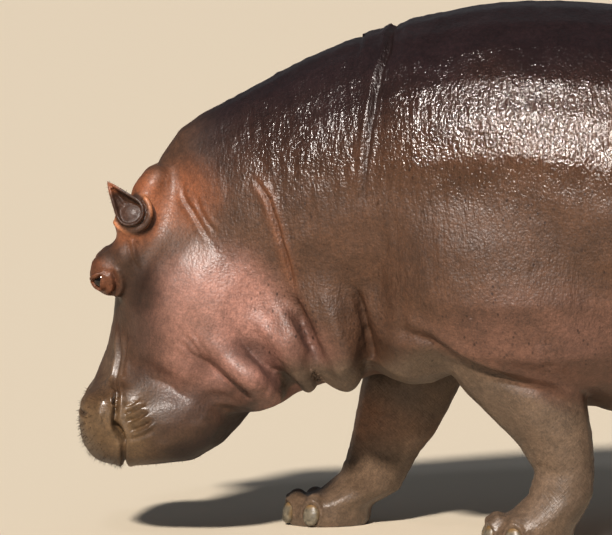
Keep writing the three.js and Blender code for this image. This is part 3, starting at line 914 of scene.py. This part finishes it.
def paintMasks(obj):
    points = readPoints(obj)
    normals = readPoints(obj, "normal")
    x, y, z = points.T
    farSide = y > 0
    wander = grain(points, (0.12, 0.12, 0.12), 21) * 0.5 + grain(points, (0.05, 0.05, 0.05), 22) * 0.25

    def spot(strength, middle, radii, soft):
        return strength * ball(points, middle, radii, soft)

    def along(strength, reach, *names):
        return strength * foldShade(points, normals, names, reach)

    topLine = np.interp(x, [-1.3, -1.15, -0.95, -0.6, -0.3, 1.3], [0.98, 1.02, 1.08, 1.18, 1.24, 1.18])
    crown = ease(-0.30, 0.03, z - topLine + 0.06 * wander) * ease(-1.16, -1.00, x)
    warm = strongest(spot(1, (-1.23, 0.15, 0.85), (0.13, 0.14, 0.15), 0.6),
                     spot(1, (-1.31, 0.12, 0.655), (0.065, 0.09, 0.065), 0.35),
                     spot(0.8, (-1.10, 0.12, 0.86), (0.16, 0.16, 0.13), 0.8)) * (1 + 0.4 * wander)
    # a warmer band along the neck fold, partly the skin's tint and partly a painted highlight on its ridge
    warm = strongest(warm, 0.35 * along(1, 0.030, "neck fold"))
    olive = strongest(ease(0.44, 0.30, z) * ease(-1.10, -1.24, x),
                      0.7 * ease(0.32, 0.22, z) * ease(-0.95, -1.10, x)) * (1 + 0.4 * wander)
    # legs: below a wandering line along the belly
    bellyLine = np.interp(x, [-0.62, -0.5, -0.4, -0.3, -0.15, -0.05, 0.6, 1.0, 1.2],
                          [0.45, 0.50, 0.46, 0.42, 0.36, 0.33, 0.36, 0.50, 0.60])
    onLeg = (x > -0.86) * ease(0.09, 0.12, np.abs(y))
    grey = onLeg * ease(0.03, -0.03, z - bellyLine + 0.02 * wander)
    legs = onLeg * ease(0.04, -0.04, z - bellyLine) * ease(0.03, 0.07, z)
    # pink cheeks, jowls and belly, and a pink patch of painted light on the lower far foreleg
    pink = strongest(spot(1, (-1.02, 0.20, 0.55), (0.26, 0.3, 0.24), 0.6),
                     spot(1, (-0.86, 0.18, 0.45), (0.20, 0.3, 0.17), 0.6),
                     spot(0.35, (-0.15, 0.45, 0.50), (0.5, 0.4, 0.22), 0.8),
                     spot(1, (-0.60, 0.245, 0.30), (0.20, 0.16, 0.17), 0.6) * farSide) * (0.94 + 0.7 * wander)
    pink = pink * (1 - 0.6 * grey * (y < 0))
    grey = strongest(grey, spot(0.8, (-1.295, 0.12, 0.455), (0.06, 0.16, 0.10), 0.7))
    # dark brown of the temple, the front of the face, the eye dome and partly the ear hollows; painted shade
    # under the jaw and chin, in the ear hollows, between and under the jowls, and on the top of the far
    # foreleg
    band = ease(-1.12, -1.20, x + 0.04 * wander) * ease(0.34, 0.42, z) * ease(0.78, 0.70, z)
    # the lower rear of the jaw, darkened towards its underside: painted shade
    jaw = ease(-0.02, 0.06, (x + 1.15) * 0.55 - (z - 0.44) * 0.9)
    jaw = jaw * ease(-0.90, -0.96, x) * ease(-1.24, -1.16, x)
    # painted shadow on the top of the far foreleg, where the body shades it
    farTopShadow = ease(0.36, 0.42, z) * (spot(1, (-0.56, 0.245, 0.45), (0.22, 0.16, 0.14), 0.3) * farSide)
    umberAndShade = strongest(spot(0.9, (-1.205, 0.17, 0.630), (0.090, 0.14, 0.135), 0.8) * (1 + 0.5 * wander),
                      0.5 * band * (1 - spot(1, (-1.295, 0.12, 0.455), (0.09, 0.18, 0.14), 0.7)),
                      spot(0.4, (-0.945, 0.20, 0.485), (0.075, 0.30, 0.055), 1.0),
                      spot(0.15, (-1.31, 0.12, 0.655), (0.075, 0.10, 0.075), 0.35),
                      spot(0.30, (-0.826, 0.20, 0.470), (0.085, 0.30, 0.130), 0.7),
                      0.9 * farTopShadow,
                      0.55 * jaw * ease(0.44, 0.36, z),
                      ease(0.31, 0.22, z) * ease(-1.20, -1.10, x) * ease(-0.86, -0.94, x),
                      0.6 * ease(0.26, 0.19, z) * ease(-1.20, -1.28, x))
    # paler along the neck fold, partly a painted highlight on its ridge; painted light on the lower far
    # foreleg; then the pale ring round each ear, its own colour
    ring = strongest(along(0.3, 0.018, "neck fold"),
                     spot(0.5, (-0.60, 0.245, 0.27), (0.18, 0.14, 0.12), 0.7) * farSide)
    for side in ("left", "right"):
        axes, middle = earAxes(side)
        cup = (points - middle) @ axes.T
        inside = ease(0.050, 0.040, np.hypot(cup[:, 0] * 0.7, cup[:, 1])) * ease(-0.060, -0.045, cup[:, 2])
        inner = ease(-0.1, 0.2, normals @ axes[2])
        umberAndShade = strongest(umberAndShade, 0.9 * inside * inner * ease(0.012, 0.0, np.abs(cup[:, 2]) - 0.04))
        reach = np.hypot(cup[:, 0], cup[:, 1]) - earPlan["ring"][0]
        around = ease(0.011, 0.004, np.abs(reach))
        around = around * ease(0.030, 0.012, np.abs(cup[:, 2] - earPlan["ringSet"]))
        ring = strongest(ring, around * ease(0.75, 1.3, np.abs(np.arctan2(cup[:, 1], cup[:, 0]))))
    # painted shade in dark red-brown: in the mouth and nostrils, along the folds and creases, broader round
    # the jaw and jowl creases, darkest under the jaw, and on the top of the far foreleg
    jawLine = np.interp(x, [-1.20, -1.08, -1.00, -0.93], [0.200, 0.235, 0.275, 0.330])
    crease = strongest(along(1.3, 0.009, "mouth", "mouth gap", "nostril", "lobe fold"),
                       along(0.9, 0.016, "main fold", "front of the hanging fold"),
                       along(0.7, 0.010, "neck fold", "jaw crease", "jowl crease", "crease behind the eye",
                             "face groove"),
                       along(0.5, 0.042, "jaw crease", "jowl crease"),
                       0.8 * ease(0.06, 0.0, z - jawLine) * ease(-1.20, -1.10, x) * ease(-0.90, -0.95, x),
                       0.5 * farTopShadow)
    # wettest along the back, with damp patches on the cheek, muzzle and feet
    gloss = ease(0.80, 0.98, z + 0.03 * wander) * ease(-1.10, -0.92, x) * (0.8 + 0.2 * ease(-0.62, -0.50, x))
    gloss = np.maximum(gloss * (1 - 0.6 * ease(0.3, 1.1, x)), 0.05)
    gloss = strongest(gloss,
                      spot(0.25, (-1.045, 0.22, 0.72), (0.13, 0.25, 0.13), 0.9),
                      spot(0.80, (-1.290, 0.14, 0.38), (0.07, 0.14, 0.10), 0.7),
                      spot(0.60, (-1.215, 0.18, 0.32), (0.05, 0.10, 0.07), 0.7))
    gloss -= spot(0.3, (-1.215, 0.125, 0.82), (0.10, 0.10, 0.11), 0.5)
    gloss = strongest(gloss, 0.5 * ease(0.10, 0.05, z) * (x > -0.86)) - 0.8 * crease
    pores = ease(-1.15, -0.9, x) * ease(0.35, 0.5, z) * ease(1.25, 1.0, z)
    wrinkled = 0.12 + 0.88 * ease(-1.12, -0.88, x) * ease(0.45, 0.7, z)
    pebbled = 0.42 + 0.58 * ease(-1.12, -0.88, x) * ease(0.35, 0.6, z)
    values = (crown, pink, warm, umberAndShade, ring * 0.8, olive, grey * 0.9, legs, crease, gloss,
              pores, wrinkled, pebbled)
    for name, value in zip(maskNames, values):
        setMask(obj, name, value)


paintMasks(skin)
print("colours and finishes laid out:", len(maskNames))
skin.data.materials.clear()
skin.data.materials.append(makeHide())
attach(skin, "root")
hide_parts(*skinPlan["flesh"], *skinPlan["ears"])


# eyes

def makeEyeGlass():
    # a wet eye: a clear curved front over a dark brown iris, so it is nearly black and very glossy
    material, tree, shader = newMaterial("wet_eye", eyePlan["finish"])
    front = addNode(tree, "Attribute", output="Fac", attribute_name="iris")
    inputs = {0: front, 6: hexColour(eyePlan["white"]), 7: hexColour(eyePlan["iris"])}
    colour = addNode(tree, "Mix", inputs, 2, data_type="RGBA")
    tree.links.new(colour, shader.inputs["Base Color"])
    return material


def makeEye(side, name, material):
    middle, faces, slit, up = eyeAxes(side)
    eye = addSphere(48, 32, eyePlan["radius"])
    eye.name = name
    points = readPoints(eye)
    cornea = ease(0.80, 1.0, points[:, 2] / eyePlan["radius"])
    points *= (1 + 0.06 * cornea)[:, None]
    axes = np.array([slit, up, faces]) if side < 0 else np.array([up, slit, faces])
    writePoints(eye, points @ axes + np.array(middle))
    setMask(eye, "iris", ease(0.62, 0.72, points[:, 2] / eyePlan["radius"]))
    pickOnly(eye)
    bpy.ops.object.shade_smooth()
    eye.data.materials.append(material)
    return eye


eyeGlass = makeEyeGlass()
for side, node in ((-1, "eye_left"), (1, "eye_right")):
    eye = makeEye(side, node + "_ball", eyeGlass)
    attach(eye, "root")
    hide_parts(node)
print("eyes placed")


# toenails

def makeHorn():
    # hippopotamus toenail: grey keratin worn smooth, ridged across, stained yellow-brown at its root
    material, tree, shader = newMaterial("grey_horn", nailPlan["finish"])
    place = addNode(tree, "TexCoord", output="Object")
    root = addNode(tree, "Attribute", output="Fac", attribute_name="root")
    stain = addNode(tree, "TexNoise", {"Vector": place, "Scale": 1 / nailPlan["stain"], "Detail": 4.0})
    stain = addNode(tree, "MapRange", {"Value": stain, "From Min": 0.35, "From Max": 0.65})
    dark, pale = (hexColour(text) for text in nailPlan["horn"])
    colour = addNode(tree, "Mix", {0: stain, 6: dark, 7: pale}, 2, data_type="RGBA")
    colour = addNode(tree, "Mix", {0: root, 6: colour, 7: hexColour(nailPlan["root"])}, 2, data_type="RGBA")
    tree.links.new(colour, shader.inputs["Base Color"])
    streaks = addNode(tree, "TexNoise", {"Vector": place, "Scale": 1 / nailPlan["streak"], "Detail": 2.0})
    bump = addNode(tree, "Bump", {"Height": streaks, "Strength": 0.35, "Distance": 0.0008})
    tree.links.new(bump, shader.inputs["Normal"])
    return material


def makeNail(leg, count, material):
    middle, out = nailPlace(leg, count)[:2]
    nail = addSphere(48, 32)
    nail.name = f"{leg}_toenail_{count + 1}"
    points = readPoints(nail)
    t, w, h = points.T
    thick, wide, tall = nailPlan["halfSize"]
    ridge = 0.0004 * np.sin(h * math.pi * nailPlan["ridges"])      # growth ridges run across it
    t = np.sign(t) * np.abs(t) ** 0.8 * thick + ridge * (t > 0) - nailPlan["lean"] * h * tall
    w = w * wide * (1 - 0.10 * h)
    side = np.array((out[1], -out[0], 0))
    place = middle + t[:, None] * out + w[:, None] * side + np.outer(h * tall, (0, 0, 1))
    writePoints(nail, place)
    setMask(nail, "root", ease(0.35, 0.85, h) + 0.5 * ease(0.75, 1.0, np.abs(points[:, 1])))
    editAll(nail)
    bpy.ops.mesh.bisect(plane_co=(0, 0, nailPlan["sole"]), plane_no=(0, 0, 1), clear_inner=True,
                        use_fill=True)
    bpy.ops.object.mode_set(mode="OBJECT")
    faceOutwards(nail)
    bpy.ops.object.shade_smooth_by_angle(angle=math.radians(50))
    nail.data.materials.append(material)
    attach(nail, "root")
    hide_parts(f"{leg}_nail_{count + 1}")
    return nail


horn = makeHorn()
nails = [makeNail(leg, count, horn) for leg, count in nailList]
print("toenails:", len(nails))


# bristles: short stiff hairs on the lips, chin, ear rims and tail

bristlePlan = {
    "sides": 3,
    "cuts": (0.35, 0.70),     # where a bristle is divided along its length, to bend
    "patch": 0.0014,          # half the width of a bristle's own spot on the map
    "sunk": 0.0008,           # how deep its root sits
    "scatter": 0.28,          # how unevenly they stand
    "colours": ("#1c130d", "#4a3625"),
    "mottle": 0.01,           # size of the paler stretches
    "finish": {"Roughness": 0.45, "IOR": 1.55},
    "groups": {               # how many, shortest and longest, thickness at the root, droop
        "upper lip": (520, 0.006, 0.014, 0.0007, 0.35),
        "chin": (80, 0.004, 0.008, 0.0006, 0.25),
        "ear rims": (300, 0.004, 0.009, 0.0004, 0.0),
        "tail": (420, 0.016, 0.040, 0.0008, 1.2),
    },
}


def bristleShape():
    # one straight bristle of length 1 along Z, with a three-sided section of radius 1 at its root
    bpy.ops.object.select_all(action="DESELECT")
    bpy.ops.mesh.primitive_cone_add(vertices=bristlePlan["sides"], radius1=1, radius2=0, depth=1,
                                    location=(0, 0, 0.5))
    piece = bpy.context.object
    bpy.ops.object.transform_apply(location=True)
    bpy.ops.object.mode_set(mode="EDIT")
    for height in bristlePlan["cuts"]:
        bpy.ops.mesh.select_all(action="SELECT")
        bpy.ops.mesh.bisect(plane_co=(0, 0, height), plane_no=(0, 0, 1))
    bpy.ops.object.mode_set(mode="OBJECT")
    points = readPoints(piece)
    faces = [tuple(face.vertices) for face in piece.data.polygons]
    bpy.data.objects.remove(piece)
    return points, faces


def bristleRoots(points):
    # which points of the skin may carry a bristle, for each group
    x, y, z = points.T
    lip = (x < -1.295) & (z < 0.365) | (x < -1.255) & (z < 0.225)
    chin = (x > -1.235) & (x < -1.06) & (z < 0.262)
    rims = np.zeros(len(points), bool)
    for side in ("left", "right"):
        axes, middle = earAxes(side)
        cup = (points - middle) @ axes.T
        rim = earRim(np.abs(np.arctan2(cup[:, 1], cup[:, 0])))[0]
        rims |= (np.abs(np.hypot(cup[:, 0], cup[:, 1]) - rim) < 0.007) & (np.abs(cup[:, 2]) < 0.012)
    tail = (x > 1.31) & (z < 0.70) & (np.abs(y) < 0.028)
    return {"upper lip": lip, "chin": chin, "ear rims": rims, "tail": tail}


def bakeSpots(roots):
    # each root's place on an unwrap of the skin's own shape
    pickOnly(skin)
    bpy.ops.object.duplicate()
    copy = bpy.context.object
    applyModifier(copy, "DECIMATE", ratio=0.04)
    editAll(copy)
    bpy.ops.uv.smart_project(angle_limit=math.radians(66), island_margin=0.004)
    bpy.ops.object.mode_set(mode="OBJECT")
    tree = BVHTree.FromObject(copy, bpy.context.evaluated_depsgraph_get())
    layer = copy.data.uv_layers.active.data
    spots = []
    for root in roots:
        place, _, number, _ = tree.find_nearest(Vector(root))
        face = copy.data.polygons[number]
        corners = [copy.data.vertices[k].co for k in face.vertices][:3]
        flat = [layer[k].uv.to_3d() for k in face.loop_indices][:3]
        spots.append(barycentric_transform(place, *corners, *flat)[:2])
    bpy.data.objects.remove(copy)
    return np.array(spots)


def makeBristles():
    rng = np.random.default_rng(5)
    points = readPoints(skin)
    normals = readPoints(skin, "normal")
    corners = np.array([face.vertices[:3] for face in skin.data.polygons])
    areas = np.array([face.area for face in skin.data.polygons])
    shape, faces = bristleShape()
    roots, lean, length, thick, droop = [], [], [], [], []
    for name, allowed in bristleRoots(points).items():
        count, shortest, longest, radius, sag = bristlePlan["groups"][name]
        weight = areas * allowed[corners].all(axis=1)
        chosen = corners[rng.choice(len(corners), count, p=weight / weight.sum())]
        shares = rng.dirichlet((1, 1, 1), count)[:, :, None]
        way = (normals[chosen] * shares).sum(axis=1)
        roots.append((points[chosen] * shares).sum(axis=1) - way * bristlePlan["sunk"])
        lean.append(way + rng.normal(0, bristlePlan["scatter"], (count, 3)) + np.array((0, 0, -0.35 * sag)))
        length.append(rng.uniform(shortest, longest, count))
        thick.append(rng.uniform(0.7, 1.1, count) * radius)
        droop.append(np.full(count, sag))
    roots, lean = np.vstack(roots), np.vstack(lean)
    length, thick, droop = np.concatenate(length), np.concatenate(thick), np.concatenate(droop)
    lean /= np.linalg.norm(lean, axis=1)[:, None]
    across = np.cross(lean, (0.31, 0.80, 0.51))
    across /= np.linalg.norm(across, axis=1)[:, None]
    other = np.cross(lean, across)
    up = shape[:, 2]
    section = shape[None, :, 0, None] * across[:, None] + shape[None, :, 1, None] * other[:, None]
    parts = section * thick[:, None, None]
    parts = parts + up[None, :, None] * (lean * length[:, None])[:, None]
    sag = 0.5 * droop[:, None] * length[:, None] * up[None] ** 2
    parts[:, :, 2] -= sag
    parts = parts + roots[:, None]
    size = len(shape)
    mesh = bpy.data.meshes.new("bristles")
    allFaces = [tuple(k + size * row for k in face) for row in range(len(roots)) for face in faces]
    mesh.from_pydata(parts.reshape(-1, 3).tolist(), [], allFaces)
    piece = bpy.data.objects.new("bristles", mesh)
    bpy.context.scene.collection.objects.link(piece)
    turn = np.arange(size) * (2 * math.pi / size)
    ring = np.column_stack([np.cos(turn), np.sin(turn)]) * bristlePlan["patch"]
    spots = (bakeSpots(roots)[:, None] + ring[None]).reshape(-1, 2)
    loops = np.empty(len(mesh.loops), np.int32)
    mesh.loops.foreach_get("vertex_index", loops)
    layer = mesh.uv_layers.new(name="OFBake")
    layer.data.foreach_set("uv", spots[loops].ravel().astype(np.float32))
    pickOnly(piece)
    bpy.ops.object.shade_smooth()
    return piece


def makeBristleHorn():
    # stiff keratin hair: dark brown, slightly glossy
    material, tree, shader = newMaterial("dark_bristle", bristlePlan["finish"])
    place = addNode(tree, "TexCoord", output="Object")
    change = addNode(tree, "TexNoise", {"Vector": place, "Scale": 1 / bristlePlan["mottle"], "Detail": 2.0})
    change = addNode(tree, "MapRange", {"Value": change, "From Min": 0.35, "From Max": 0.65})
    dark, pale = (hexColour(text) for text in bristlePlan["colours"])
    colour = addNode(tree, "Mix", {0: change, 6: dark, 7: pale}, 2, data_type="RGBA")
    tree.links.new(colour, shader.inputs["Base Color"])
    return material


bristles = makeBristles()
bristles.data.materials.append(makeBristleHorn())
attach(bristles, "root")
print("bristles:", len(bristles.data.polygons), "faces")


# floor, lights and camera

stagePlan = {
    "floor": "#e6dccb",
    "sky": ("#e8ecf2", 0.16),         # colour and strength of the light from all round
    "gamma": 0.86,                    # a little more contrast
    "lamps": {                        # comes from, spread in degrees, strength, colour, lights or shines
        "key_light": ((-0.26, -0.80, 0.53), 5, 5.4, "#fff6ea", "lights"),
        "shine_light": ((-0.12, -0.71, 0.69), 6, 6.3, "#fff8f2", "shines"),
    },
    "cameraPlace": (-0.797, -12.3, 1.55),
    "cameraTilt": 4.06,
    "focalPixels": 4900,
    "imageWidth": 612,
    "sensor": 36,
}


def makeStage():
    bpy.ops.object.select_all(action="DESELECT")
    bpy.ops.mesh.primitive_plane_add(size=600)
    floor = bpy.context.object
    floor.name = "studio_floor"
    finish = {"Base Color": hexColour(stagePlan["floor"]), "Roughness": 0.9}
    floor.data.materials.append(newMaterial("matt_studio_floor", finish)[0])
    world = bpy.data.worlds.new("studio")
    world.use_nodes = True
    colour, strength = stagePlan["sky"]
    sky = world.node_tree.nodes["Background"]
    sky.inputs["Color"].default_value = hexColour(colour)
    sky.inputs["Strength"].default_value = strength
    bpy.context.scene.world = world
    bpy.context.scene.view_settings.view_transform = "Standard"
    bpy.context.scene.view_settings.gamma = stagePlan["gamma"]


def addSun(name, comesFrom, spread, strength, colour, part):
    lamp = bpy.data.lights.new(name, "SUN")
    lamp.angle = math.radians(spread)
    lamp.energy = strength
    lamp.color = hexColour(colour)[:3]
    holder = bpy.data.objects.new(name, lamp)
    bpy.context.scene.collection.objects.link(holder)
    holder.rotation_euler = Vector(comesFrom).to_track_quat("Z", "Y").to_euler()
    # one lamp lights the hide, and the other, set higher, gives it its shine
    holder.visible_glossy = part == "shines"
    holder.visible_diffuse = part == "lights"


makeStage()
for name, lampPlan in stagePlan["lamps"].items():
    addSun(name, *lampPlan)

camera = bpy.data.cameras.new("camera")
camera.sensor_width = stagePlan["sensor"]
camera.lens = stagePlan["focalPixels"] / stagePlan["imageWidth"] * stagePlan["sensor"]
camera.clip_end = 1000
cameraHolder = bpy.data.objects.new("camera", camera)
bpy.context.scene.collection.objects.link(cameraHolder)
cameraHolder.location = stagePlan["cameraPlace"]
cameraHolder.rotation_euler = (math.radians(90 - stagePlan["cameraTilt"]), 0, 0)
bpy.context.scene.camera = cameraHolder
